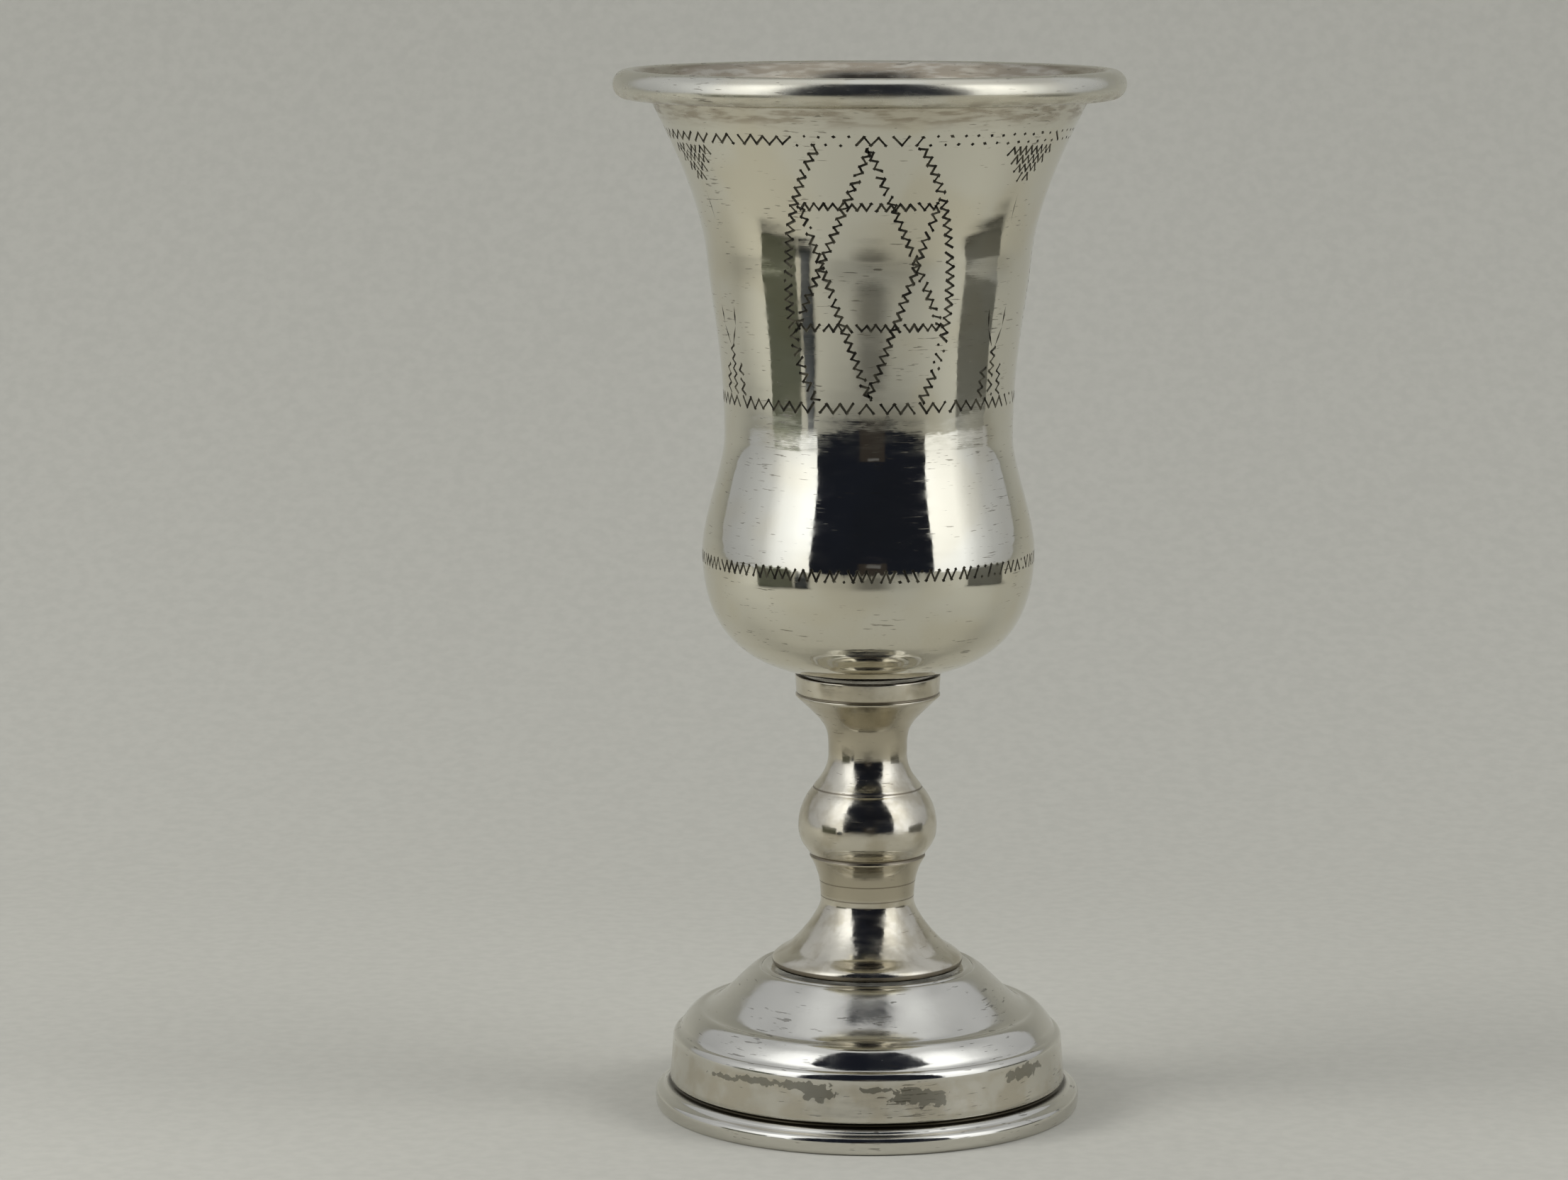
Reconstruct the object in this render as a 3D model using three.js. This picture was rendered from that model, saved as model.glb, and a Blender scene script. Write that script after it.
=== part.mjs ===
// Silver kiddush cup: a thin waisted bowl with a rolled rim, on a hollow baluster stem and a domed, stepped foot.
// Millimetres, +Z up. The origin is the centre of the foot's flat underside.
// Every piece is turned, so each one is a profile of radius against height, spun about Z.
import * as THREE from 'three';

const height = 127;
const gap = 0.35; // solder line between two neighbouring pieces
const facets = { wide: 44, slim: 28 }; // flats around the bowl and the foot, and around the stem

// Places on the profiles, outside the metal. Where a smooth run starts or ends at a place,
// out and in are the handles of that run, as offsets from the place.
const bowl = {
  wall: 0.6,
  crown: { r: 0, z: 53.3, out: [3, 0] }, // the lowest point of the outside, on the axis
  seat: { r: 8.85, z: 54.1, in: [-2.8, -0.65], out: [5.38, 1.23] }, // where the collar meets the bowl
  belly: { r: 20.2, z: 68.9, in: [0, -10.6], out: [0, 4.1] },
  waist: { r: 17.48, z: 82.8, in: [0, -3.5], out: [0, 9.95] },
  throat: { r: 19.55, z: 104.6, in: [-0.6, -6.25], out: [0.62, 6.45] }, // the flare opens above here
  lip: { r: 26.36, z: 123.5, in: [-2.63, -5.03] }, // where the wall goes up behind the rolled edge
  roll: { r: 29.05, radius: 1.75, start: 180, end: 450 }, // the edge, rolled outwards into a bead
  brim: { out: [-1.5, 0], in: [0.62, 1.2] }, // the run from the top of the roll down into the bowl
};

const stem = {
  plate: { r: 8.2 }, // the disc under the bowl ends here
  collarTop: { r: 8.85, z: 53.65, chamfer: 0.13 },
  collarFoot: { r: 8.8, z: 51.4 },
  cove: { r: 8.6, z: 50.75, out: [-3.64, -3.4] }, // the stem sweeps in under the collar
  neck: { r: 4.82, z: 43.8, in: [0, 3.4], out: [0, -3.9] },
  knop: { r: 8.5, z: 34.8, in: [0, 4.7], out: [0, -1.8] },
  lineTop: { r: 7.2, z: 31.6, in: [0.55, 0.8] }, // a fine line is turned below the knop
  line: { r: 6.9, z: 31.3 },
  lineFoot: { r: 7.1, z: 31.0, out: [-0.9, -1.4] },
  narrow: { r: 5.73, z: 25.5, in: [0, 2.6], out: [0, -0.9] },
  shoulder: { r: 9.8, z: 19.7, in: [-2.5, 2.2], out: [0.8, -0.45] }, // top of the bead that edges the skirt
  bead: { r: 11.72, z: 18.1, in: [0, 0.55] },
  base: { r: 11.6, z: 17.6 },
};

// The stem's bore, from the skirt's rim up to the closed plate.
const bore = {
  mouth: { r: 10.7, z: 17.6, out: [-1.9, 3] },
  narrow: { r: 4.8, z: 25.5, in: [0, -3], out: [0, 3.5] },
  knop: { r: 6, z: 34.8, in: [0, -3.5], out: [0, 4] },
  neck: { r: 3.9, z: 43.8, in: [0, -3.5], out: [0, 3.5] },
  head: { r: 6.2, z: 51, in: [0, -3] },
  end: { r: 0, z: 51.8 },
};

const foot = {
  wall: 0.65,
  lip: { r: 9.8, z: 17.25 }, // the hole under the stem
  ringStart: { r: 12.1, z: 17.25 }, // a low ring round the stem's base
  ring: { r: 12.6, z: 17.4 },
  ringEnd: { r: 13, z: 17.1 },
  top: { r: 13.3, z: 17.3, out: [1.25, 0.05] }, // the dome starts here
  ledge: { r: 20.5, z: 12.05, in: [-1.9, -0.45], out: [0.8, 0.1] }, // and ends in a shallow cove
  firstBead: { r: 22.8, z: 10.1, in: [-0.55, 0.9] },
  crease: { r: 23.1, z: 9.45, out: [0.5, -0.05] },
  secondBead: { r: 23.93, z: 8.4, in: [0, 0.6] },
  band: { r: 24.3, z: 3.45 }, // lower edge of the upright band
  grooveTop: { r: 23.95, z: 3.25 },
  groove: { r: 23.95, z: 3 },
  cushion: { r: 24.55, z: 2.8 },
  step: { r: 24.95, z: 2.55 },
  flange: { r: 25.75, z: 2.1, out: [0.3, -0.15] },
  edge: { r: 26.1, z: 1.2, in: [0, 0.5], out: [0, -0.7] },
  sole: { r: 25.75, z: 0, in: [0.3, 0.1] },
  soleInside: { r: 23.7, z: 0 },
};

function point(place) {
  return new THREE.Vector2(place.r, place.z);
}

function shifted(place, dr, dz) {
  return new THREE.Vector2(place.r + dr, place.z + dz);
}

// Points of the smooth run from one place to the next.
function run(from, to, steps) {
  const curve = new THREE.CubicBezierCurve(point(from), shifted(from, ...from.out), shifted(to, ...to.in), point(to));
  return curve.getPoints(steps);
}

// Points of the rim's rolled edge, from where the wall meets it, under and round to its top.
function rolledEdge(steps) {
  const { r, radius, start, end } = bowl.roll;
  return Array.from({ length: steps + 1 }, (_, i) => {
    const angle = THREE.MathUtils.degToRad(start + ((end - start) * i) / steps);
    return new THREE.Vector2(r + radius * Math.cos(angle), height - radius + radius * Math.sin(angle));
  });
}

// Moves a run of points sideways by the wall's thickness, to the left of its direction of travel.
function offset(points, thickness) {
  return points.map((p, i) => {
    const before = points[Math.max(i - 1, 0)];
    const after = points[Math.min(i + 1, points.length - 1)];
    const along = after.clone().sub(before).normalize();
    return new THREE.Vector2(Math.max(p.x - along.y * thickness, 0), p.y + along.x * thickness);
  });
}

// Leaves out points that repeat the one before.
function tidy(points) {
  const closest = 0.02;
  return points.filter((p, i) => i === 0 || p.distanceTo(points[i - 1]) > closest);
}

// Spins a profile about Z. The profile has the metal on its left.
function turned(name, profile, segments, material) {
  const geometry = new THREE.LatheGeometry(tidy(profile), segments);
  geometry.rotateX(Math.PI / 2);
  const mesh = new THREE.Mesh(geometry, material);
  mesh.name = name;
  return mesh;
}

// The bowl's outside from the axis up to the rim, with so many steps in each of its five runs.
function bowlWall([floor, round, belly, waist, flare]) {
  return tidy([
    ...run(bowl.crown, bowl.seat, floor),
    ...run(bowl.seat, bowl.belly, round),
    ...run(bowl.belly, bowl.waist, belly),
    ...run(bowl.waist, bowl.throat, waist),
    ...run(bowl.throat, bowl.lip, flare),
  ]);
}

function makeBowl(material) {
  const inside = offset(bowlWall([2, 5, 3, 3, 3]), bowl.wall);
  inside[0].set(0, bowl.crown.z + bowl.wall);
  const lipInside = inside[inside.length - 1];
  const rollTop = { r: bowl.roll.r, z: height, out: bowl.brim.out };
  const brim = run(rollTop, { r: lipInside.x, z: lipInside.y, in: bowl.brim.in }, 3);
  const profile = [...bowlWall([2, 8, 5, 4, 4]), ...rolledEdge(7), ...brim, ...inside.reverse()];
  return turned('bowl', profile, facets.wide, material);
}

function makeStem(material) {
  const { chamfer } = stem.collarTop;
  const plate = run(bowl.crown, bowl.seat, 2)
    .filter((p) => p.x < stem.plate.r)
    .map((p) => new THREE.Vector2(p.x, p.y - gap));
  // The outside runs down from the plate under the bowl, and the bore runs back up to it.
  const outside = [
    ...plate,
    shifted(stem.collarTop, -chamfer, 0),
    shifted(stem.collarTop, 0, -chamfer),
    point(stem.collarFoot),
    ...run(stem.cove, stem.neck, 5),
    ...run(stem.neck, stem.knop, 6),
    ...run(stem.knop, stem.lineTop, 3),
    point(stem.line),
    ...run(stem.lineFoot, stem.narrow, 4),
    ...run(stem.narrow, stem.shoulder, 5),
    ...run(stem.shoulder, stem.bead, 3),
    point(stem.base),
  ];
  const inside = [
    ...run(bore.mouth, bore.narrow, 4),
    ...run(bore.narrow, bore.knop, 2),
    ...run(bore.knop, bore.neck, 2),
    ...run(bore.neck, bore.head, 3),
    point(bore.end),
  ];
  return turned('stem', [...outside, ...inside].reverse(), facets.slim, material);
}

function makeFoot(material) {
  const { wall, lip, ledge, secondBead } = foot;
  const outside = [
    ...[lip, foot.ringStart, foot.ring, foot.ringEnd].map(point),
    ...run(foot.top, ledge, 4),
    ...run(ledge, foot.firstBead, 3),
    ...run(foot.crease, secondBead, 2),
    ...[foot.band, foot.grooveTop, foot.groove, foot.cushion, foot.step].map(point),
    ...run(foot.flange, foot.edge, 2),
    ...run(foot.edge, foot.sole, 2),
  ];
  const inside = [
    point(foot.soleInside),
    shifted(secondBead, -wall, -wall / 2),
    shifted(ledge, wall, -2 * wall),
    ...offset(run(foot.top, ledge, 3).reverse(), wall),
    shifted(lip, 0, -wall),
    point(lip),
  ];
  return turned('foot', [...outside, ...inside].reverse(), facets.wide, material);
}

const silver = { color: 0xc9c6b8, metalness: 1 };
const cup = new THREE.Group();
cup.add(
  makeBowl(new THREE.MeshStandardMaterial({ ...silver, roughness: 0.16 })),
  makeStem(new THREE.MeshStandardMaterial({ ...silver, roughness: 0.2 })),
  makeFoot(new THREE.MeshStandardMaterial({ ...silver, roughness: 0.24 })),
);

export default cup;
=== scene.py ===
import math
import random
from bisect import bisect_right

import bmesh
import bpy
from mathutils import Matrix, Vector
from mathutils.geometry import interpolate_bezier


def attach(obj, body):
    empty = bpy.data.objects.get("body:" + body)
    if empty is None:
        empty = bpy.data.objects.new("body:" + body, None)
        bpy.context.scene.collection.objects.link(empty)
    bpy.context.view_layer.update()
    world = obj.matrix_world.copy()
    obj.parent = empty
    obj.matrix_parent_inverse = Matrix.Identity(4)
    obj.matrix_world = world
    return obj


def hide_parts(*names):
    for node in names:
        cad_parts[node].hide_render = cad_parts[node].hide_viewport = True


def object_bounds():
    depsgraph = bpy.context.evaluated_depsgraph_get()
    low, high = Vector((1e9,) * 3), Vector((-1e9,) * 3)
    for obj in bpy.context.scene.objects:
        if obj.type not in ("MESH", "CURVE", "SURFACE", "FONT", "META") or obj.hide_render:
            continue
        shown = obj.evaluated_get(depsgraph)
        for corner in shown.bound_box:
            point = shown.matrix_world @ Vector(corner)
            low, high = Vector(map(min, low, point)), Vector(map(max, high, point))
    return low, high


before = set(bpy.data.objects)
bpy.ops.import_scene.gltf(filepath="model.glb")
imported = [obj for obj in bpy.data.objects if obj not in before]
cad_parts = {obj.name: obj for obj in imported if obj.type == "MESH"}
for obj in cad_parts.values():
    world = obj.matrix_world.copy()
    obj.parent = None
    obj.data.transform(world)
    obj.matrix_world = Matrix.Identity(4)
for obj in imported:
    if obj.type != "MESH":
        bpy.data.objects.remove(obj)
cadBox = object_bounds()
cupHeight = 127  # every size below is in millimetres of a cup of this height
mm = cadBox[1].z / cupHeight
scene = bpy.context.scene
print("frame loaded")


def runPoints(start, end, spacing):
    # the points of one smooth run of a profile, without its last point
    knots = [
        Vector((start["r"], start["z"])),
        Vector((start["r"] + start["out"][0], start["z"] + start["out"][1])),
        Vector((end["r"] + end["into"][0], end["z"] + end["into"][1])),
        Vector((end["r"], end["z"])),
    ]
    length = sum((b - a).length for a, b in zip(knots, knots[1:]))
    steps = max(3, round(length / spacing))
    return [tuple(p) for p in interpolate_bezier(*knots, steps + 1)][:-1]


def arcPoints(r, z, radius, start, end, steps):
    angles = [math.radians(start + (end - start) * i / steps) for i in range(steps + 1)]
    return [(r + radius * math.cos(a), z + radius * math.sin(a)) for a in angles]


def spot(place):
    return (place["r"], place["z"])


def movedIn(points, thickness):
    # the same profile, moved to the left of its direction by the wall's thickness
    moved = []
    for i, (r, z) in enumerate(points):
        before = points[max(i - 1, 0)]
        after = points[min(i + 1, len(points) - 1)]
        along = Vector((after[0] - before[0], after[1] - before[1])).normalized()
        moved.append((max(r - along.y * thickness, 0), z + along.x * thickness))
    return moved


def turned(name, profile, segments, closed):
    # spins a profile of radius and height about the cup's axis
    bm = bmesh.new()
    verts = [bm.verts.new((r * mm, 0, z * mm)) for r, z in profile]
    ends = verts[1:] + verts[:1] if closed else verts[1:]
    geom = verts + [bm.edges.new(pair) for pair in zip(verts, ends)]
    axis = {"cent": (0, 0, 0), "axis": (0, 0, 1)}
    bmesh.ops.spin(bm, geom=geom, angle=math.tau, steps=segments, use_merge=True, **axis)
    bmesh.ops.remove_doubles(bm, verts=bm.verts, dist=0.002 * mm)  # closes the ends on the axis
    bmesh.ops.recalc_face_normals(bm, faces=bm.faces)
    return finishedPiece(name, bm)


def finishedPiece(name, bm):
    mesh = bpy.data.meshes.new(name)
    bm.to_mesh(mesh)
    bm.free()
    mesh.shade_smooth()
    piece = bpy.data.objects.new(name, mesh)
    scene.collection.objects.link(piece)
    return piece


# places on the profiles: into and out are the handles of the smooth runs that end and start there
bowl = {
    "segments": 256,
    "spacing": 0.7,
    "brimSpacing": 0.3,
    "wall": 0.6,
    "crown": {"r": 0, "z": 53.3, "out": (3, 0)},
    "seat": {"r": 8.85, "z": 54.1, "into": (-2.8, -0.65), "out": (5.38, 1.23)},
    "belly": {"r": 20.2, "z": 68.9, "into": (0, -10.6), "out": (0, 4.1)},
    "waist": {"r": 17.48, "z": 82.8, "into": (0, -3.5), "out": (0, 9.95)},
    "throat": {"r": 19.55, "z": 104.6, "into": (-0.6, -6.25), "out": (0.62, 6.45)},
    "lip": {"r": 26.36, "z": 123.5, "into": (-2.63, -5.03)},
    "roll": {"r": 29.05, "radius": 1.75, "start": 180, "end": 450, "steps": 40},
    "brim": {"out": (-1.5, 0), "into": (0.62, 1.2)},
}


def bowlWall():
    stops = [bowl[key] for key in ("crown", "seat", "belly", "waist", "throat", "lip")]
    points = []
    for start, end in zip(stops, stops[1:]):
        points += runPoints(start, end, bowl["spacing"])
    return points + [spot(bowl["lip"])]


wallPoints = bowlWall()
wallHeights = [z for r, z in wallPoints]


def wallAt(z):
    # radius of the bowl's outside at a height, and its slope there
    i = min(max(bisect_right(wallHeights, z), 1), len(wallPoints) - 1)
    (r0, z0), (r1, z1) = wallPoints[i - 1], wallPoints[i]
    share = (z - z0) / (z1 - z0)
    return r0 + (r1 - r0) * share, (r1 - r0) / (z1 - z0)


def makeBowl():
    roll = bowl["roll"]
    rollZ = cupHeight - roll["radius"]
    inside = movedIn(wallPoints, bowl["wall"])
    inside[0] = (0, bowl["crown"]["z"] + bowl["wall"])
    top = {"r": roll["r"], "z": cupHeight, "out": bowl["brim"]["out"]}
    lipInside = {"r": inside[-1][0], "z": inside[-1][1], "into": bowl["brim"]["into"]}
    rolledEdge = arcPoints(roll["r"], rollZ, roll["radius"], roll["start"], roll["end"], roll["steps"])
    brim = runPoints(top, lipInside, bowl["brimSpacing"])
    # the inside takes every second point, and ends on the axis
    profile = wallPoints + rolledEdge[:-1] + brim + inside[:0:-2] + inside[:1]
    return turned("engraved_bowl", profile, bowl["segments"], False)


bowlPiece = makeBowl()
print("bowl turned")

stem = {
    "segments": 160,
    "spacing": 0.3,
    "plateSpacing": 1,
    "boreSpacing": 1.2,
    "gap": 0.35,  # the solder line under the bowl
    "plateRadius": 8.2,
    # the collar's rounded edges and the line turned round its foot
    "collar": [(8.76, 53.65), (8.84, 53.6), (8.88, 53.5), (8.88, 53.4), (8.86, 53.0), (8.8, 52.0), (8.77, 51.6),
               (8.76, 51.5), (8.66, 51.42), (8.66, 51.3), (8.74, 51.22), (8.84, 51.16), (8.84, 51.0)],
    "cove": {"r": 8.6, "z": 50.75, "out": (-3.64, -3.4)},
    "neck": {"r": 4.82, "z": 43.8, "into": (0, 3.4), "out": (0, -1.9)},
    "lineTop": {"r": 6.62, "z": 39.72, "into": (-0.95, 1.25)},
    "lineFoot": {"r": 6.7, "z": 39.5, "out": (1.0, -1.05)},
    "knop": {"r": 8.5, "z": 34.8, "into": (0, 1.95), "out": (0, -1.8)},
    "grooveTop": {"r": 7.22, "z": 31.62, "into": (0.55, 0.8)},
    "groove": [(7.16, 31.5), (6.93, 31.36), (6.93, 31.24), (7.08, 31.12)],
    "grooveFoot": {"r": 7.1, "z": 31.0, "out": (-0.9, -1.4)},
    "narrow": {"r": 5.73, "z": 25.5, "into": (0, 2.6), "out": (0, -0.9)},
    "shoulder": {"r": 9.8, "z": 19.7, "into": (-2.5, 2.2), "out": (0.8, -0.45)},
    "bead": {"r": 11.72, "z": 18.1, "into": (0, 0.55)},
    "base": {"r": 11.6, "z": 17.6},
    "boreMouth": {"r": 10.7, "z": 17.6, "out": (-1.9, 3)},
    "boreNarrow": {"r": 4.8, "z": 25.5, "into": (0, -3), "out": (0, 3.5)},
    "boreKnop": {"r": 6, "z": 34.8, "into": (0, -3.5), "out": (0, 4)},
    "boreNeck": {"r": 3.9, "z": 43.8, "into": (0, -3.5), "out": (0, 3.5)},
    "boreHead": {"r": 6.2, "z": 51, "into": (0, -3)},
    "boreEnd": {"r": 0, "z": 51.8},
}


def makeStem():
    fine = stem["spacing"]
    floor = runPoints(bowl["crown"], bowl["seat"], stem["plateSpacing"])
    plate = [(r, z - stem["gap"]) for r, z in floor if r < stem["plateRadius"]]
    outside = plate + stem["collar"]
    outside += runPoints(stem["cove"], stem["neck"], fine)
    outside += runPoints(stem["neck"], stem["lineTop"], fine) + [spot(stem["lineTop"])]
    outside += runPoints(stem["lineFoot"], stem["knop"], fine)
    outside += runPoints(stem["knop"], stem["grooveTop"], fine) + stem["groove"]
    outside += runPoints(stem["grooveFoot"], stem["narrow"], fine)
    outside += runPoints(stem["narrow"], stem["shoulder"], fine)
    outside += runPoints(stem["shoulder"], stem["bead"], fine) + [spot(stem["bead"]), spot(stem["base"])]
    bore = [stem[key] for key in ("boreMouth", "boreNarrow", "boreKnop", "boreNeck", "boreHead")]
    inside = []
    for start, end in zip(bore, bore[1:]):
        inside += runPoints(start, end, stem["boreSpacing"])
    inside += [spot(stem["boreHead"]), spot(stem["boreEnd"])]
    return turned("turned_stem", outside + inside, stem["segments"], False)


stemPiece = makeStem()
print("stem turned")

foot = {
    "segments": 240,
    "spacing": 0.35,
    "tightSpacing": 0.15,
    "soleSpacing": 0.2,
    "bandSpacing": 0.8,
    "innerSpacing": 1,
    "wall": 0.65,
    "lip": (9.8, 17.25),
    "ring": [(12.05, 17.25), (12.3, 17.34), (12.6, 17.4), (12.85, 17.3), (12.98, 17.14), (13.12, 17.12)],
    "top": {"r": 13.3, "z": 17.3, "out": (1.25, 0.05)},
    "ledge": {"r": 20.5, "z": 12.05, "into": (-1.9, -0.45), "out": (0.8, 0.1)},
    "firstBead": {"r": 22.8, "z": 10.1, "into": (-0.55, 0.9)},
    "crease": {"r": 23.1, "z": 9.45, "out": (0.5, -0.05)},
    "secondBead": {"r": 23.93, "z": 8.4, "into": (0, 0.6), "out": (0.02, -1.2)},
    "band": {"r": 24.3, "z": 3.5, "into": (-0.1, 1.2)},
    "groove": [(24.2, 3.38), (23.97, 3.28), (23.93, 3.1), (23.96, 2.98), (24.2, 2.9)],
    "cushion": [(24.55, 2.8), (24.85, 2.66), (25.0, 2.5), (25.12, 2.35), (25.4, 2.26)],
    "flange": {"r": 25.75, "z": 2.1, "out": (0.3, -0.15)},
    "edge": {"r": 26.1, "z": 1.2, "into": (0, 0.5), "out": (0, -0.7)},
    "sole": {"r": 25.75, "z": 0, "into": (0.3, 0.1)},
    "soleInside": (23.7, 0),
}


def makeFoot():
    fine, wall = foot["spacing"], foot["wall"]
    ledge, second = foot["ledge"], foot["secondBead"]
    outside = [foot["lip"]] + foot["ring"]
    outside += runPoints(foot["top"], ledge, fine) + runPoints(ledge, foot["firstBead"], fine)
    outside += [spot(foot["firstBead"])] + runPoints(foot["crease"], second, foot["tightSpacing"])
    outside += runPoints(second, foot["band"], foot["bandSpacing"]) + [spot(foot["band"])]
    outside += foot["groove"] + foot["cushion"] + runPoints(foot["flange"], foot["edge"], foot["tightSpacing"])
    outside += runPoints(foot["edge"], foot["sole"], foot["soleSpacing"])
    dome = runPoints(foot["top"], ledge, foot["innerSpacing"])
    inside = [spot(foot["sole"]), foot["soleInside"]]
    inside += [(second["r"] - wall, second["z"] - wall / 2), (ledge["r"] + wall, ledge["z"] - 2 * wall)]
    inside += movedIn(dome[::-1], wall) + [(foot["lip"][0], foot["lip"][1] - wall)]
    return turned("domed_foot", outside + inside, foot["segments"], True)


footPiece = makeFoot()
print("foot turned")


def addNode(tree, kind, inputs=None, **settings):
    # a value in inputs is either another node's output, which is linked, or a plain value
    node = tree.nodes.new("ShaderNode" + kind)
    for key, value in settings.items():
        setattr(node, key, value)
    for key, value in (inputs or {}).items():
        if isinstance(value, bpy.types.NodeSocket):
            tree.links.new(value, node.inputs[key])
        else:
            node.inputs[key].default_value = value
    return node


def calc(tree, operation, *values):
    return addNode(tree, "Math", dict(enumerate(values)), operation=operation).outputs[0]


def stretched(tree, place, scale):
    return addNode(tree, "VectorMath", {0: place, 1: scale}, operation="MULTIPLY").outputs[0]


def noise(tree, place, scale, detail=2):
    return addNode(tree, "TexNoise", {"Vector": place, "Scale": scale, "Detail": detail}).outputs["Fac"]


def ranged(tree, value, low, high, toLow=0.0, toHigh=1.0):
    inputs = {"Value": value, "From Min": low, "From Max": high, "To Min": toLow, "To Max": toHigh}
    return addNode(tree, "MapRange", inputs, interpolation_type="SMOOTHSTEP").outputs[0]


def blend(tree, share, first, second):
    return addNode(tree, "Mix", {0: share, 6: first, 7: second}, data_type="RGBA").outputs[2]


def ramp(tree, value, low, high, stops):
    # a curve of grey levels through the stops, each of them a place between low and high with its level
    position = addNode(tree, "MapRange", {"Value": value, "From Min": low, "From Max": high}).outputs[0]
    node = addNode(tree, "ValToRGB", {"Fac": position})
    elements = node.color_ramp.elements
    while len(elements) < len(stops):
        elements.new(0.5)
    for element, (place, level) in zip(elements, stops):
        element.position = (place - low) / (high - low)
        element.color = (level, level, level, 1)
    return node.outputs["Color"]


def newGroup(name, inputs, output):
    tree = bpy.data.node_groups.new(name, "ShaderNodeTree")
    for label, kind in inputs.items():
        tree.interface.new_socket(label, in_out="INPUT", socket_type="NodeSocket" + kind)
    tree.interface.new_socket(output, in_out="OUTPUT", socket_type="NodeSocketFloat")
    return tree, tree.nodes.new("NodeGroupInput").outputs, tree.nodes.new("NodeGroupOutput").inputs[0]


def useGroup(tree, group, **inputs):
    return addNode(tree, "Group", inputs, node_tree=group).outputs[0]


def makeTurnedLines():
    # fine rings left by turning and polishing: they only change with the height
    tree, given, result = newGroup("turned lines", {"Place": "Vector", "Fineness": "Float"}, "Lines")
    flat = stretched(tree, given["Place"], (0.09, 0.09, 1))
    lines = addNode(tree, "TexNoise", {"Vector": flat, "Scale": given["Fineness"], "Detail": 3}).outputs["Fac"]
    tree.links.new(lines, result)
    return tree


def makeBlot():
    # one ragged spot of tarnish at a chosen place
    inputs = {"Place": "Vector", "Centre": "Vector", "Size": "Vector", "Ragged": "Float"}
    tree, given, result = newGroup("blot", inputs, "Mask")
    inputs = {0: given["Place"], 1: given["Centre"]}
    offset = addNode(tree, "VectorMath", inputs, operation="SUBTRACT").outputs[0]
    scaled = addNode(tree, "VectorMath", {0: offset, 1: given["Size"]}, operation="DIVIDE").outputs[0]
    distance = addNode(tree, "VectorMath", {0: scaled}, operation="LENGTH").outputs["Value"]
    uneven = calc(tree, "SUBTRACT", noise(tree, given["Place"], 1.1, 4), 0.5)
    waver = calc(tree, "MULTIPLY", uneven, given["Ragged"])
    tree.links.new(ranged(tree, calc(tree, "ADD", distance, waver), 1.06, 0.94), result)
    return tree


def makeNicks():
    # short dark scratches that run round the metal
    tree, given, result = newGroup("nicks", {"Place": "Vector", "Limit": "Float"}, "Mask")
    short = noise(tree, stretched(tree, given["Place"], (0.45, 0.45, 5)), 1, 2)
    patches = noise(tree, given["Place"], 0.12, 1)
    level = calc(tree, "ADD", short, calc(tree, "MULTIPLY", patches, 0.35))
    above = calc(tree, "SUBTRACT", level, given["Limit"])
    tree.links.new(ranged(tree, above, 0, 0.05), result)
    return tree


turnedLines, blot, nicks = makeTurnedLines(), makeBlot(), makeNicks()


def heightBand(tree, height, low, high, soft):
    rise = ranged(tree, height, low - soft, low + soft)
    return calc(tree, "MULTIPLY", rise, ranged(tree, height, high + soft, high - soft))


def newMaterial(name):
    material = bpy.data.materials.new(name)
    material.use_nodes = True
    return material, material.node_tree


def placeInMillimetres(tree):
    coords = addNode(tree, "TexCoord").outputs["Object"]
    place = addNode(tree, "VectorMath", {0: coords, "Scale": 1 / mm}, operation="SCALE").outputs[0]
    return place, addNode(tree, "SeparateXYZ", {0: place}).outputs[2]


def polishedSurface(tree, place, look, colour, extraRoughness):
    # worn polish on any of the three pieces: soft dents, turned lines and a slightly uneven gloss
    lines = useGroup(tree, turnedLines, Place=place, Fineness=look["lineFineness"])
    small = noise(tree, place, look["dentScale"], 2)
    large = calc(tree, "MULTIPLY", noise(tree, place, 0.12, 1), 3)
    dents = {"Height": calc(tree, "ADD", small, large), "Strength": 1, "Distance": look["dentDepth"] * mm}
    soft = addNode(tree, "Bump", dents).outputs[0]
    rings = {"Height": lines, "Strength": 1, "Distance": look["lineDepth"] * mm, "Normal": soft}
    bumped = addNode(tree, "Bump", rings)
    rubbed = noise(tree, stretched(tree, place, (1, 1, 3)), 0.35, 4)
    gloss = ranged(tree, rubbed, 0.35, 0.7, *look["roughness"])
    shader = tree.nodes["Principled BSDF"]
    shader.inputs["Metallic"].default_value = 1
    tree.links.new(colour, shader.inputs["Base Color"])
    tree.links.new(calc(tree, "ADD", gloss, extraRoughness), shader.inputs["Roughness"])
    tree.links.new(bumped.outputs[0], shader.inputs["Normal"])


bowlLook = {
    "lineFineness": 7,
    "lineDepth": 0.0012,
    "dentScale": 0.45,
    "dentDepth": 0.012,
    "roughness": (0.045, 0.11),
    "clean": (0.71, 0.69, 0.6, 1),
    "warm": (0.68, 0.645, 0.53, 1),
    "stain": (0.36, 0.31, 0.235, 1),
    "nick": (0.2, 0.18, 0.14, 1),
    "warmBelow": (66, 56),  # heights: the round bottom gets warmer from one to the other
    "underRim": (121.4, 124.2, 0.9),  # the stain under the rolled edge, and how soft its edges are
    "brimRadius": (28.6, 28),  # tarnish on the inner side of the rolled edge
    "brimHeight": (123.6, 124.2),
    "seatDirtAndShade": (54.75, 54.4),  # dirt and painted shade in the solder line
    "rollHeight": (123.4, 123.9),  # the rolled edge is duller than the wall
    "rollDull": 0.17,
    "nickLimit": 0.85,
}


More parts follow.
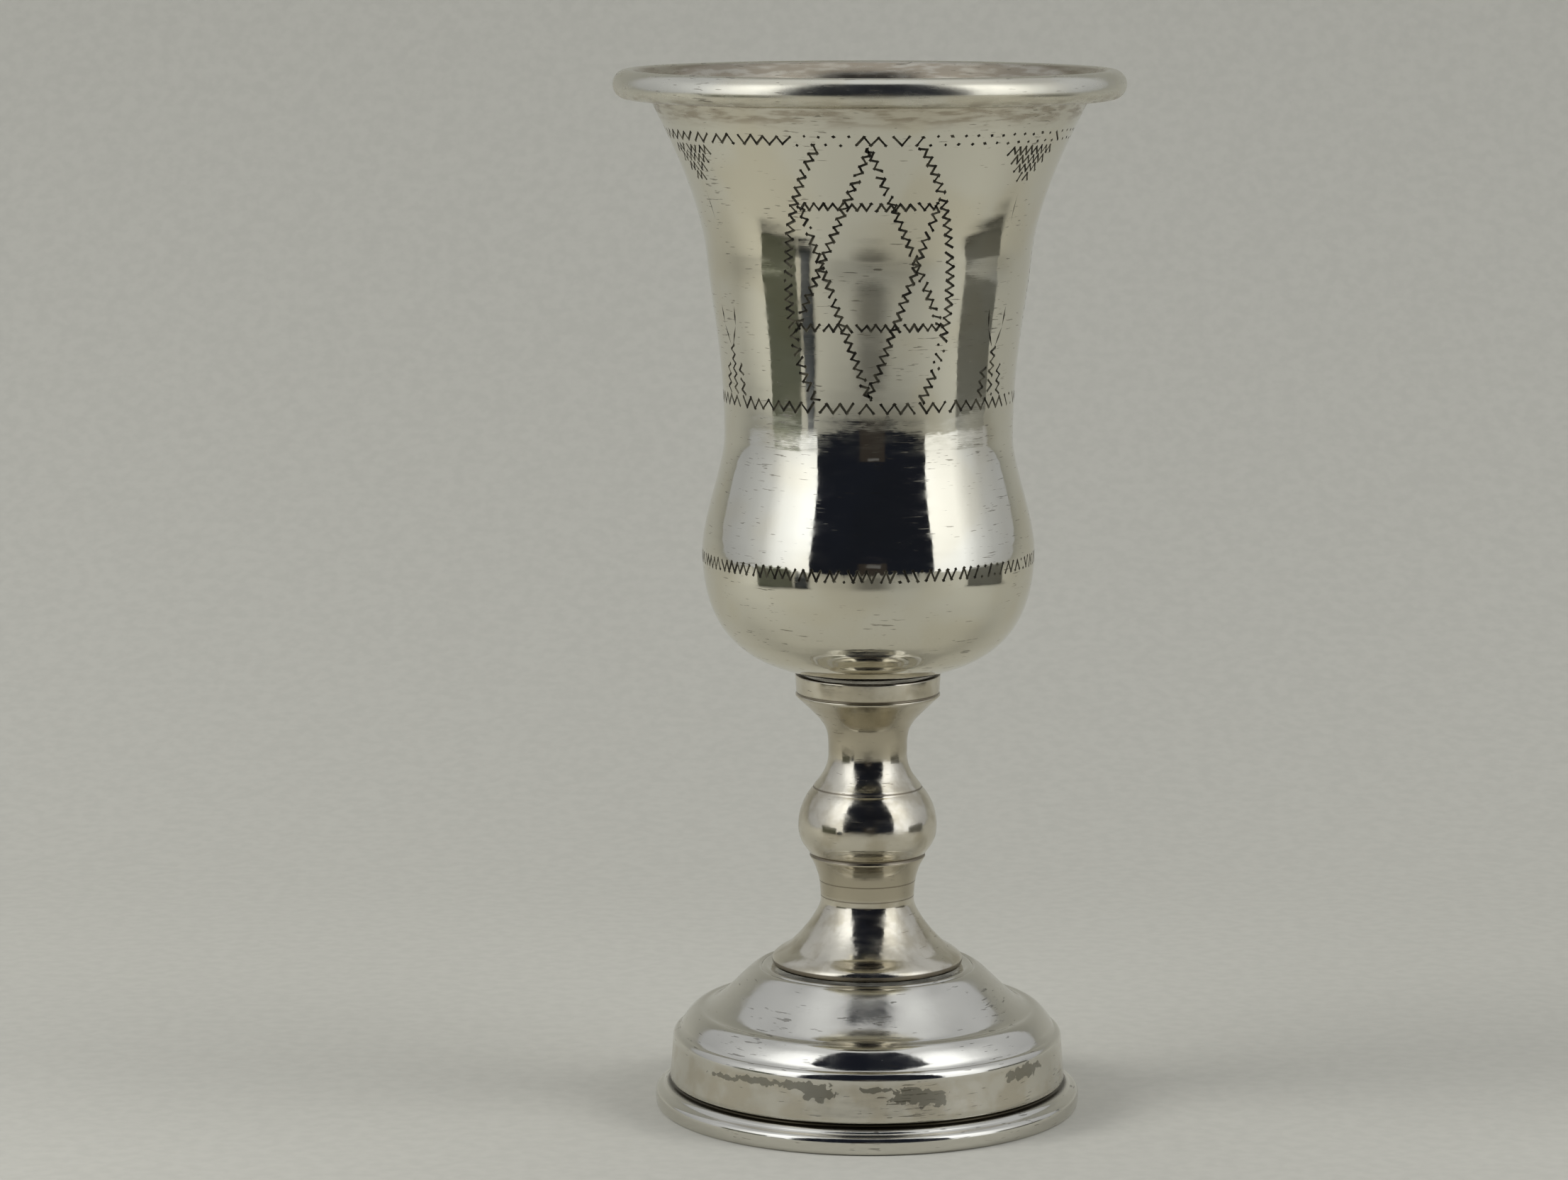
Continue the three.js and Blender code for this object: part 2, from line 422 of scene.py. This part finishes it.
def makeBowlSilver():
    material, tree = newMaterial("bowl silver")
    place, height = placeInMillimetres(tree)
    low = ranged(tree, height, *bowlLook["warmBelow"])
    warmth = calc(tree, "MAXIMUM", low, ranged(tree, noise(tree, place, 0.09, 2), 0.45, 0.65))
    colour = blend(tree, warmth, bowlLook["clean"], bowlLook["warm"])
    ragged = noise(tree, stretched(tree, place, (0.5, 0.5, 3)), 0.6, 5)
    underRim = heightBand(tree, height, *bowlLook["underRim"])
    stain = calc(tree, "MULTIPLY", underRim, ranged(tree, ragged, 0.4, 0.64, 0.2, 0.8))
    fromAxis = addNode(tree, "VectorMath", {0: stretched(tree, place, (1, 1, 0))}, operation="LENGTH")
    innerSide = ranged(tree, fromAxis.outputs["Value"], *bowlLook["brimRadius"])
    brim = calc(tree, "MULTIPLY", innerSide, ranged(tree, height, *bowlLook["brimHeight"]))
    brim = calc(tree, "MULTIPLY", brim, ranged(tree, ragged, 0.35, 0.6, 0.55, 0.95))
    colour = blend(tree, calc(tree, "MAXIMUM", stain, brim), colour, bowlLook["stain"])
    # the solder line is darkened: dirt and painted shade between bowl and stem
    colour = blend(tree, ranged(tree, height, *bowlLook["seatDirtAndShade"]), colour, bowlLook["nick"])
    rollDull = calc(tree, "MULTIPLY", ranged(tree, height, *bowlLook["rollHeight"]), bowlLook["rollDull"])
    scratches = useGroup(tree, nicks, Place=place, Limit=bowlLook["nickLimit"])
    nick = calc(tree, "MULTIPLY", scratches, 0.7)
    colour = blend(tree, nick, colour, bowlLook["nick"])
    dull = calc(tree, "MULTIPLY", calc(tree, "MAXIMUM", stain, nick), 0.25)
    polishedSurface(tree, place, bowlLook, colour, calc(tree, "ADD", dull, rollDull))
    return material


cutLook = {"light": (0.13, 0.12, 0.085, 1), "dark": (0.035, 0.032, 0.024, 1)}


def makeCutSilver():
    # inside the engraved strokes the silver is rough and tarnished
    material, tree = newMaterial("engraved silver")
    place = placeInMillimetres(tree)[0]
    darkening = ranged(tree, noise(tree, place, 0.8, 2), 0.35, 0.65)
    colour = blend(tree, darkening, cutLook["light"], cutLook["dark"])
    shader = tree.nodes["Principled BSDF"]
    shader.inputs["Roughness"].default_value = 0.75
    shader.inputs["Specular IOR Level"].default_value = 0.25
    tree.links.new(colour, shader.inputs["Base Color"])
    return material


stemLook = {
    "lineFineness": 6,
    "lineDepth": 0.002,
    "dentScale": 0.6,
    "dentDepth": 0.028,
    "roughness": (0.11, 0.24),
    "clean": (0.67, 0.63, 0.53, 1),
    "warm": (0.44, 0.39, 0.28, 1),
    "dark": (0.16, 0.13, 0.09, 1),
    # dirt and painted shade in the turned lines: height, half width
    "darkRings": ((53.62, 0.06), (51.35, 0.12), (39.62, 0.1), (31.3, 0.22), (28.0, 0.06), (26.1, 0.06),
                  (18.0, 0.25)),
    "warmBands": ((43.5, 50.8, 1.2), (26.2, 31.2, 0.4)),  # under the collar and under the knop
    "nickLimit": 0.88,
}


def makeStemSilver():
    material, tree = newMaterial("stem silver")
    place, height = placeInMillimetres(tree)
    blotches = ranged(tree, noise(tree, place, 0.3, 3), 0.42, 0.66)
    # warmer, darker bands under the collar and under the knop
    underCollarAndKnop = calc(tree, "MAXIMUM", *(heightBand(tree, height, *band) for band in stemLook["warmBands"]))
    blotches = calc(tree, "MULTIPLY", blotches, 0.6)
    warmth = calc(tree, "MAXIMUM", blotches, calc(tree, "MULTIPLY", underCollarAndKnop, 0.7))
    colour = blend(tree, warmth, stemLook["clean"], stemLook["warm"])
    scratches = useGroup(tree, nicks, Place=place, Limit=stemLook["nickLimit"])
    darkening = calc(tree, "MULTIPLY", scratches, 0.6)
    # dark rings in the turned lines: painted shade in the creases, with some dirt; the scratches are real wear
    for ring, half in stemLook["darkRings"]:
        darkening = calc(tree, "MAXIMUM", darkening, heightBand(tree, height, ring - half, ring + half, 0.08))
    colour = blend(tree, calc(tree, "MULTIPLY", darkening, 0.8), colour, stemLook["dark"])
    polishedSurface(tree, place, stemLook, colour, calc(tree, "MULTIPLY", darkening, 0.2))
    return material


footLook = {
    "lineFineness": 5,
    "lineDepth": 0.002,
    "dentScale": 0.5,
    "dentDepth": 0.016,
    "roughness": (0.09, 0.17),
    "clean": (0.69, 0.67, 0.605, 1),
    "warm": (0.58, 0.54, 0.45, 1),
    "patch": (0.21, 0.2, 0.16, 1),
    "dark": (0.07, 0.06, 0.04, 1),
    # spots of tarnish on the upright band: degrees from the front, height, half width, half height
    "patches": ((13, 6.7, 2.6, 0.9), (19, 6.2, 1.8, 0.9), (-14, 7.0, 2.0, 1.1), (-20, 7.6, 2.2, 0.6),
                (52, 7.5, 3.2, 0.8), (-33, 7.6, 4.2, 0.45), (-45, 7.2, 2.6, 0.35), (3, 7.5, 1.8, 0.4),
                (150, 6.4, 3.2, 1.3), (-120, 6.9, 3.8, 1.0)),
    "ragged": 2.6,
    "band": (3.6, 8.3, 0.4),  # the upright band is warmer and duller
    "crevice": (2.78, 3.45, 0.1),  # dirt and painted shade in the groove under the band
    "dome": (12.4, 17.1, 0.3),  # a satin finish
    "nickLimit": 0.86,
}


def makeFootSilver():
    material, tree = newMaterial("foot silver")
    place, height = placeInMillimetres(tree)
    onBand = heightBand(tree, height, *footLook["band"])
    blotches = ranged(tree, noise(tree, place, 0.25, 4), 0.4, 0.62, 0.25, 1)
    colour = blend(tree, calc(tree, "MULTIPLY", onBand, blotches), footLook["clean"], footLook["warm"])
    patchMask = 0.0
    for turn, z, halfWidth, halfHeight in footLook["patches"]:
        angle, r = math.radians(turn), foot["secondBead"]["r"]
        centre = (r * math.sin(angle), -r * math.cos(angle), z)
        size = (halfWidth, halfWidth, halfHeight)
        patch = useGroup(tree, blot, Place=place, Ragged=footLook["ragged"], Centre=centre, Size=size)
        patchMask = calc(tree, "MAXIMUM", patchMask, patch)
    colour = blend(tree, calc(tree, "MULTIPLY", patchMask, 0.75), colour, footLook["patch"])
    # painted shade with dirt: the groove under the band is darkened
    crevice = heightBand(tree, height, *footLook["crevice"])
    scratches = useGroup(tree, nicks, Place=place, Limit=footLook["nickLimit"])
    wearAndCreviceShade = calc(tree, "MAXIMUM", crevice, calc(tree, "MULTIPLY", scratches, 0.55))
    colour = blend(tree, wearAndCreviceShade, colour, footLook["dark"])
    dull = calc(tree, "MULTIPLY", calc(tree, "MAXIMUM", wearAndCreviceShade, patchMask), 0.2)
    dull = calc(tree, "ADD", dull, calc(tree, "MULTIPLY", onBand, 0.06))
    satin = calc(tree, "MULTIPLY", heightBand(tree, height, *footLook["dome"]), 0.05)
    polishedSurface(tree, place, footLook, colour, calc(tree, "ADD", dull, satin))
    return material


bowlSilver, cutSilver = makeBowlSilver(), makeCutSilver()
bowlPiece.data.materials.append(bowlSilver)
stemPiece.data.materials.append(makeStemSilver())
footPiece.data.materials.append(makeFootSilver())
print("silver ready")

# swing and period are the width and the step of a wriggled line, and shown is the share of its strokes
# that isn't worn away
engraving = {
    "seed": 7,
    "strokeWidth": 0.29,
    "strokeDepth": 0.15,
    "biteLength": 0.54,
    "biteWidth": 0.46,
    "biteDepth": 0.24,
    "jitter": 0.07,
    "panels": (0, 115, -123),  # the directions that the three oval panels face, in degrees from the front
    "dividers": (-63, 54, 176),
    "topBand": {"z": 119.6, "swing": 0.95, "period": 1.75},
    "middleBand": {"z": 87.95, "swing": 1.1, "period": 1.6, "shown": 0.85},
    "bellyBand": {"z": 68.4, "swing": 1.2, "period": 1.1},
    "oval": {"z": 103.75, "halfHeight": 19.4, "halfWidth": 9.9, "foot": 88.7, "head": 118.9, "steps": 48,
             "swing": 0.85, "period": 1.1, "shown": 0.9},
    "star": {"swing": 0.72, "period": 1.12, "shown": 0.92},
    "upTriangle": {"apex": (0, 118.6), "corners": 8.7, "base": 97.5},
    "downTriangle": {"apex": (0, 89.2), "corners": 8.2, "base": 111.8},
    "pendant": {"head": 118.1, "rows": 4, "rowStep": 1.05, "width": 8.6, "tail": 108.3, "lean": 0.6,
                "swing": 0.8, "period": 1.1, "shown": 0.9},
    "spray": {"foot": 88.9, "fork": 94.6, "head": 99.4, "spread": 1.9, "sideHeight": 3.4,
              "swing": 0.7, "period": 1.1, "shown": 0.9},
    "sprig": {"foot": 92, "head": 114, "leaves": (94, 99, 104, 109), "leafRoot": 0.9, "leafTip": (5.2, 4.2)},
    "line": (0.34, 0.16, True),  # one long pointed cut: width, depth
}
chance = random.Random(engraving["seed"])
cuts = {}  # one mesh of cutters for each set whose cutters don't touch each other


def onWall(turn, z):
    # a place on the bowl's outside, and the way out of the wall there; turn is in degrees from the front
    r, slope = wallAt(z)
    angle = math.radians(turn)
    outward = Vector((math.sin(angle), -math.cos(angle), -slope)).normalized()
    return Vector((r * math.sin(angle), -r * math.cos(angle), z)) * mm, outward


def addCut(group, start, end, width, depth, pointed):
    bm = cuts.setdefault(group, bmesh.new())
    tail, outward = onWall(*start)
    head = onWall(*end)[0]
    along = (head - tail).normalized()
    across = outward.cross(along).normalized()
    basis = Matrix((along, across, along.cross(across))).transposed().to_4x4()
    size = Vector(((head - tail).length / 2, width * mm / 2, depth * mm, 1))
    matrix = Matrix.Translation((tail + head) / 2) @ basis @ Matrix.Diagonal(size)
    if pointed:
        bmesh.ops.create_uvsphere(bm, u_segments=4, v_segments=2, radius=1, matrix=matrix)
    else:
        diamond = Matrix.Diagonal((1, math.sqrt(0.5), math.sqrt(0.5), 1)) @ Matrix.Rotation(math.pi / 4, 4, "X")
        bmesh.ops.create_cube(bm, size=2, matrix=matrix @ diamond)


def wriggle(group, path, facing, style, shown=None):
    # a wriggled line: the graver rocks from side to side along the path and bites deepest where it turns
    places = [Vector(p) for p in path]
    steps = [(b - a).length for a, b in zip(places, places[1:])]
    turns = max(2, round(2 * sum(steps) / style["period"]))
    jitter = engraving["jitter"]
    corners = []
    for k in range(turns + 1):
        distance = sum(steps) * k / turns
        i = 0
        while i < len(steps) - 1 and distance > steps[i]:
            distance -= steps[i]
            i += 1
        along = (places[i + 1] - places[i]).normalized()
        side = Vector((-along.y, along.x)) * style["swing"] / 2 * (1 if k % 2 else -1)
        shake = Vector((chance.uniform(-jitter, jitter), chance.uniform(-jitter, jitter)))
        corners.append((places[i] + along * distance + side + shake, along))
    for k, (place, along) in enumerate(corners):
        half = along * engraving["biteLength"] / 2 * chance.uniform(0.7, 1.15)
        lean = Vector((-half.y, half.x)) * chance.uniform(-0.5, 0.3)
        depth = engraving["biteDepth"] * chance.uniform(0.7, 1.15)
        ends = [aroundBowl(p, facing) for p in (place - half - lean, place + half + lean)]
        addCut(group + "Bites", *ends, engraving["biteWidth"], depth, True)
        if k == turns:
            break
        share = shown(aroundBowl(place, facing)[0]) if shown else style["shown"]
        if chance.random() < share:
            ends = [aroundBowl(p, facing) for p in (place, corners[k + 1][0])]
            parity = "Even" if k % 2 else "Odd"
            width = engraving["strokeWidth"] * chance.uniform(0.75, 1.2)
            addCut(group + parity, *ends, width, engraving["strokeDepth"], False)


def aroundBowl(place, facing):
    # from millimetres across the wall and up, to degrees round the bowl and up
    across, z = place
    return (facing + math.degrees(across / wallAt(z)[0]), z)


def engraveBand(band, shown=None):
    # a band all round the bowl, as a path unrolled at its own radius
    half = math.pi * wallAt(band["z"])[0]
    wriggle("band", [(-half, band["z"]), (half - band["period"] / 4, band["z"])], 0, band, shown)


def engraveOval(facing):
    oval = engraving["oval"]
    for side in (-1, 1):
        path = []
        for i in range(oval["steps"] + 1):
            z = oval["foot"] + (oval["head"] - oval["foot"]) * i / oval["steps"]
            bulge = math.sqrt(1 - ((z - oval["z"]) / oval["halfHeight"]) ** 2)
            path.append((side * oval["halfWidth"] * bulge, z))
        wriggle("oval", path, facing, oval)


def engraveStar(facing):
    for group in ("upTriangle", "downTriangle"):
        triangle = engraving[group]
        left = (-triangle["corners"], triangle["base"])
        right = (triangle["corners"], triangle["base"])
        for path in ([left, triangle["apex"]], [triangle["apex"], right], [right, left]):
            wriggle(group, path, facing, engraving["star"])


def engravePendant(facing):
    # rows of wriggles that get shorter downwards, with one long cut as a tail
    pendant = engraving["pendant"]
    for row in range(pendant["rows"]):
        half = pendant["width"] / 2 * (1 - row / pendant["rows"])
        z = pendant["head"] - row * pendant["rowStep"]
        wriggle("spray", [(-half, z), (half, z)], facing, pendant)
    z = pendant["head"] - pendant["rows"] * pendant["rowStep"]
    addCut("lines", (facing, z), (facing + pendant["lean"], pendant["tail"]), *engraving["line"])


def engraveSpray(facing):
    # a plant that stands on the middle band: a stalk, two side shoots and two bent blades
    spray = engraving["spray"]
    base, fork, head = spray["foot"], spray["fork"], spray["head"]
    wriggle("spray", [(0, base), (0, fork)], facing, spray)
    for side in (-1, 1):
        spread = side * spray["spread"]
        wriggle("spray", [(spread, base), (spread * 0.8, base + spray["sideHeight"])], facing, spray)
        root = aroundBowl((spread * 0.15, fork), facing)
        middle = aroundBowl((spread * 0.75, (fork + head) / 2), facing)
        tip = aroundBowl((spread * 0.9, head), facing)
        addCut("lines", root, middle, *engraving["line"])
        addCut("linesTip", middle, tip, *engraving["line"])


def engraveSprig(facing):
    # the two panels at the back: a plain sprig with pairs of leaves
    sprig, style = engraving["sprig"], engraving["star"]
    wriggle("upTriangle", [(0, sprig["foot"]), (0, sprig["head"])], facing, style)
    out, up = sprig["leafTip"]
    for z in sprig["leaves"]:
        for side in (-1, 1):
            leaf = [(side * sprig["leafRoot"], z), (side * out, z + up)]
            wriggle("downTriangle", leaf, facing, style)


def topShown(turn):
    # the strokes of the top band are worn away but for two stretches: only the bites are left
    return 0.95 if -80 < turn < -22 or -5 < turn < 9 else 0.12


def bellyShown(turn):
    return 0.9 if turn < -10 else 0.55


def engraveAll():
    engraveBand(engraving["topBand"], topShown)
    engraveBand(engraving["middleBand"])
    engraveBand(engraving["bellyBand"], bellyShown)
    for facing in engraving["panels"]:
        engraveOval(facing)
        (engraveSprig if facing else engraveStar)(facing)
    for facing in engraving["dividers"]:
        engravePendant(facing)
        engraveSpray(facing)


def cutEngraving():
    # takes the cutters out of the bowl, and gives the cut faces the bowl's second material
    tools = []
    for group, bm in cuts.items():
        tool = finishedPiece("cutter_" + group, bm)
        tool.data.shade_flat()
        tool.data.materials.append(cutSilver)
        boolean = bowlPiece.modifiers.new(group, "BOOLEAN")
        boolean.operation = "DIFFERENCE"
        boolean.solver = "MANIFOLD"
        boolean.material_mode = "TRANSFER"
        boolean.object = tool
        tools.append(tool)
    depsgraph = bpy.context.evaluated_depsgraph_get()
    engraved = bpy.data.meshes.new_from_object(bowlPiece.evaluated_get(depsgraph))
    bowlPiece.modifiers.clear()
    bowlPiece.data = engraved
    for tool in tools:
        bpy.data.objects.remove(tool)
    print("engraving cut:", len(engraved.polygons), "faces,", len(engraved.materials), "materials")


def smoothWall():
    # exact normals for the turned wall, so that its polish isn't disturbed next to the cuts
    mesh = bowlPiece.data
    outer = {}
    normals = []
    skin = 0.05  # how far under the outside a face still belongs to it
    low, high = bowl["seat"]["z"], bowl["lip"]["z"]
    for face in mesh.polygons:
        r, z = face.center.xy.length / mm, face.center.z / mm
        wall = face.material_index == 0 and low < z < high and r > wallAt(z)[0] - skin
        for vertex in face.vertices:
            if not wall:
                normals.append((0, 0, 0))
                continue
            if vertex not in outer:
                co = mesh.vertices[vertex].co
                slope = wallAt(co.z / mm)[1]
                outer[vertex] = Vector((co.x, co.y, -slope * co.xy.length)).normalized()
            normals.append(outer[vertex])
    mesh.normals_split_custom_set(normals)


engraveAll()
cutEngraving()
smoothWall()

pieces = {"bowl": bowlPiece, "stem": stemPiece, "foot": footPiece}
for node, piece in pieces.items():
    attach(piece, "root")
    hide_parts(node)
    print(node, sum(len(face.vertices) - 2 for face in piece.data.polygons), "triangles")

paperSweep = {
    "width": 1400,
    "front": -482,
    "bend": 120,  # behind this the paper curves up
    "bendRadius": 260,
    "bendSteps": 24,
    "top": 620,
    "colour": (0.48, 0.469, 0.415),
    "paintedShadow": {"place": (10, -290, 0), "inner": 20, "outer": 95, "level": 0.45},  # a painted shadow, soft, in front of the cup
}

# a white dome, open in front: the reflections and most of the light come from it, and the camera doesn't see it
tent = {
    "radius": 620,
    "slices": 72,
    "rings": 45,
    "door": (-40, 45, 79),  # the opening's two sides and its top, in degrees as seen from the cup
    "glow": (0.93, 0.955, 1.0, 1),
    # brightness of the wall: degrees from the front and level, then degrees above the table and level
    "around": ((-180, 0.5), (-112, 0.5), (-92, 0.62), (-78, 0.8), (-66, 1.3), (-50, 1.6), (50, 1.6), (68, 1.5),
               (80, 0.95), (95, 0.62), (112, 0.52), (180, 0.5)),
    "above": ((-90, 0.8), (5, 0.85), (25, 1.0), (45, 1.15), (60, 1.0), (90, 1.0)),
    "roofFrom": (55, 70),  # above this the roof has one brightness
    "roof": 0.8,
    "opening": (0.011, 0.013, 0.02, 1),
}


def sheet(name, path, sweep):
    # a thin sheet: a path of points pulled sideways
    bm = bmesh.new()
    verts = [bm.verts.new(Vector(p) * mm) for p in path]
    edges = [bm.edges.new(pair) for pair in zip(verts, verts[1:])]
    pulled = bmesh.ops.extrude_edge_only(bm, edges=edges)["geom"]
    moved = [part for part in pulled if isinstance(part, bmesh.types.BMVert)]
    bmesh.ops.translate(bm, verts=moved, vec=Vector(sweep) * mm)
    return finishedPiece(name, bm)


def makePaper():
    bend, radius, width = paperSweep["bend"], paperSweep["bendRadius"], paperSweep["width"]
    curve = arcPoints(bend, radius, radius, -90, 0, paperSweep["bendSteps"])
    side = [(paperSweep["front"], 0)] + curve + [(bend + radius, paperSweep["top"])]
    paper = sheet("paper_sweep", [(-width / 2, y, z) for y, z in side], (width, 0, 0))
    material, tree = newMaterial("pale paper")
    place = placeInMillimetres(tree)[0]
    grain = ranged(tree, noise(tree, place, 0.5, 6), 0.3, 0.7, 0.97, 1.03)
    # a painted shadow: a soft darker spot on the paper in front of the cup
    dark = paperSweep["paintedShadow"]
    fromSpot = addNode(tree, "VectorMath", {0: place, 1: dark["place"]}, operation="DISTANCE")
    inPaintedShadow = ranged(tree, fromSpot.outputs["Value"], dark["inner"], dark["outer"], dark["level"], 1)
    shade = calc(tree, "MULTIPLY", grain, inPaintedShadow)
    shader = tree.nodes["Principled BSDF"]
    shader.inputs["Roughness"].default_value = 0.95
    shader.inputs["Specular IOR Level"].default_value = 0.05
    tree.links.new(stretched(tree, paperSweep["colour"], shade), shader.inputs["Base Color"])
    paper.data.materials.append(material)


def makeTent():
    bm = bmesh.new()
    size = {"u_segments": tent["slices"], "v_segments": tent["rings"], "radius": tent["radius"] * mm}
    bmesh.ops.create_uvsphere(bm, **size)
    left, right, top = tent["door"]
    inDoor = []
    for face in bm.faces:
        x, y, z = face.calc_center_median()
        azimuth = math.degrees(math.atan2(x, -y))
        elevation = math.degrees(math.atan2(z, math.hypot(x, y)))
        if left < azimuth < right and elevation < top:
            inDoor.append(face)
    bmesh.ops.delete(bm, geom=inDoor, context="FACES")
    bmesh.ops.reverse_faces(bm, faces=bm.faces)
    dome = finishedPiece("light_tent", bm)
    material, tree = newMaterial("tent glow")
    tree.nodes.remove(tree.nodes["Principled BSDF"])
    x, y, z = addNode(tree, "SeparateXYZ", {0: placeInMillimetres(tree)[0]}).outputs
    azimuth = calc(tree, "DEGREES", calc(tree, "ARCTAN2", x, calc(tree, "MULTIPLY", y, -1)))
    elevation = calc(tree, "DEGREES", calc(tree, "ARCSINE", calc(tree, "DIVIDE", z, tent["radius"])))
    wall = calc(tree, "MULTIPLY", ramp(tree, azimuth, -180, 180, tent["around"]),
                ramp(tree, elevation, -90, 90, tent["above"]))
    isRoof = ranged(tree, elevation, *tent["roofFrom"])
    wall = calc(tree, "MULTIPLY", wall, calc(tree, "SUBTRACT", 1, isRoof))
    roof = calc(tree, "MULTIPLY", isRoof, tent["roof"])
    glow = addNode(tree, "Emission", {"Color": tent["glow"], "Strength": calc(tree, "ADD", wall, roof)})
    tree.links.new(glow.outputs[0], tree.nodes["Material Output"].inputs["Surface"])
    dome.data.materials.append(material)
    dome.visible_camera = False


lamps = {
    "left": {"place": (-330, -90, 300), "aim": (-165, -50, 0), "size": 150, "power": 0.8},
    "right": {"place": (330, -60, 300), "aim": (165, -40, 0), "size": 150, "power": 0.55},
}


def makeLamps():
    # two soft lamps brighten the table beside the cup; the silver mirrors the tent, not the lamps
    for name, lamp in lamps.items():
        data = bpy.data.lights.new("lamp_" + name, "AREA")
        data.size = lamp["size"] * mm
        data.energy = lamp["power"]
        piece = bpy.data.objects.new("lamp_" + name, data)
        piece.location = Vector(lamp["place"]) * mm
        toAim = Vector(lamp["aim"]) - Vector(lamp["place"])
        piece.rotation_euler = toAim.to_track_quat("-Z", "Y").to_euler()
        piece.visible_glossy = False
        scene.collection.objects.link(piece)


clampEdge = 2
clamps = {
    "left": {"turn": -66, "distance": 240, "size": (120, 60, 48), "colour": (0.16, 0.17, 0.13, 1)},
    "leg": {"turn": -45.5, "distance": 235, "size": (38, 240, 16), "colour": (0.02, 0.025, 0.03, 1)},
    "right": {"turn": 87, "distance": 255, "size": (150, 60, 44), "colour": (0.2, 0.2, 0.18, 1)},
}


def makeClamps():
    # low grey and black blocks on the paper, left and right of the cup: only the silver mirrors them
    for name, clamp in clamps.items():
        bm = bmesh.new()
        width, depth, height = (length * mm for length in clamp["size"])
        out = Matrix.Translation((0, -clamp["distance"] * mm - depth / 2, height / 2))
        turn = Matrix.Rotation(math.radians(clamp["turn"]), 4, "Z")
        bmesh.ops.create_cube(bm, size=1, matrix=turn @ out @ Matrix.Diagonal((width, depth, height, 1)))
        bevel = {"affect": "EDGES", "segments": 2, "profile": 0.5, "material": -1}
        bmesh.ops.bevel(bm, geom=bm.edges[:], offset=clampEdge * mm, **bevel)
        block = finishedPiece("clamp_" + name, bm)
        material, tree = newMaterial("grey clamp " + name)
        shader = tree.nodes["Principled BSDF"]
        shader.inputs["Base Color"].default_value = clamp["colour"]
        shader.inputs["Roughness"].default_value = 0.6
        block.data.materials.append(material)
        block.visible_camera = False


cameraStand = {
    "stand": {"x": (-60, 110), "y": -500, "z": (0, 112), "glow": (0.036, 0.031, 0.028, 1)},
    "screen": {"x": (-8, 72), "y": -498, "z": (74, 104), "glow": (0.13, 0.13, 0.135, 1)},
}


def makeCameraStand():
    # a plain dark stand in the tent's opening, with a small lit screen: only the bowl mirrors it. The stand is
    # no lamp: its faint glow is painted light
    for name, card in cameraStand.items():
        (left, right), (low, high) = card["x"], card["z"]
        panel = sheet("camera_" + name, [(right, card["y"], low), (left, card["y"], low)], (0, 0, high - low))
        material, tree = newMaterial("camera " + name)
        tree.nodes.remove(tree.nodes["Principled BSDF"])
        glow = addNode(tree, "Emission", {"Color": card["glow"]})
        tree.links.new(glow.outputs[0], tree.nodes["Material Output"].inputs["Surface"])
        panel.data.materials.append(material)
        panel.visible_camera = False


def makeOpening():
    # the dark room in front of the tent
    world = bpy.data.worlds.new("dark room")
    scene.world = world
    world.use_nodes = True
    background = world.node_tree.nodes["Background"]
    background.inputs["Color"].default_value = tent["opening"]
    background.inputs["Strength"].default_value = 1


makePaper()
makeTent()
makeLamps()
makeCameraStand()
makeClamps()
makeOpening()

# pitch is downwards, and a slight yaw to the left puts the cup in its place in the frame
view = {
    "distance": 561.7,
    "height": 147.7,
    "pitch": 8.49,
    "yaw": 1.045,
    "lens": 107.04,
}
cameraData = bpy.data.cameras.new("camera")
cameraData.lens = view["lens"]
cameraData.sensor_width = 36
cameraData.clip_start = 0.01
camera = bpy.data.objects.new("camera", cameraData)
camera.location = (0, -view["distance"] * mm, view["height"] * mm)
camera.rotation_euler = (math.radians(90 - view["pitch"]), 0, math.radians(view["yaw"]))
scene.collection.objects.link(camera)
scene.camera = camera
scene.view_settings.view_transform = "Standard"
print("studio ready")
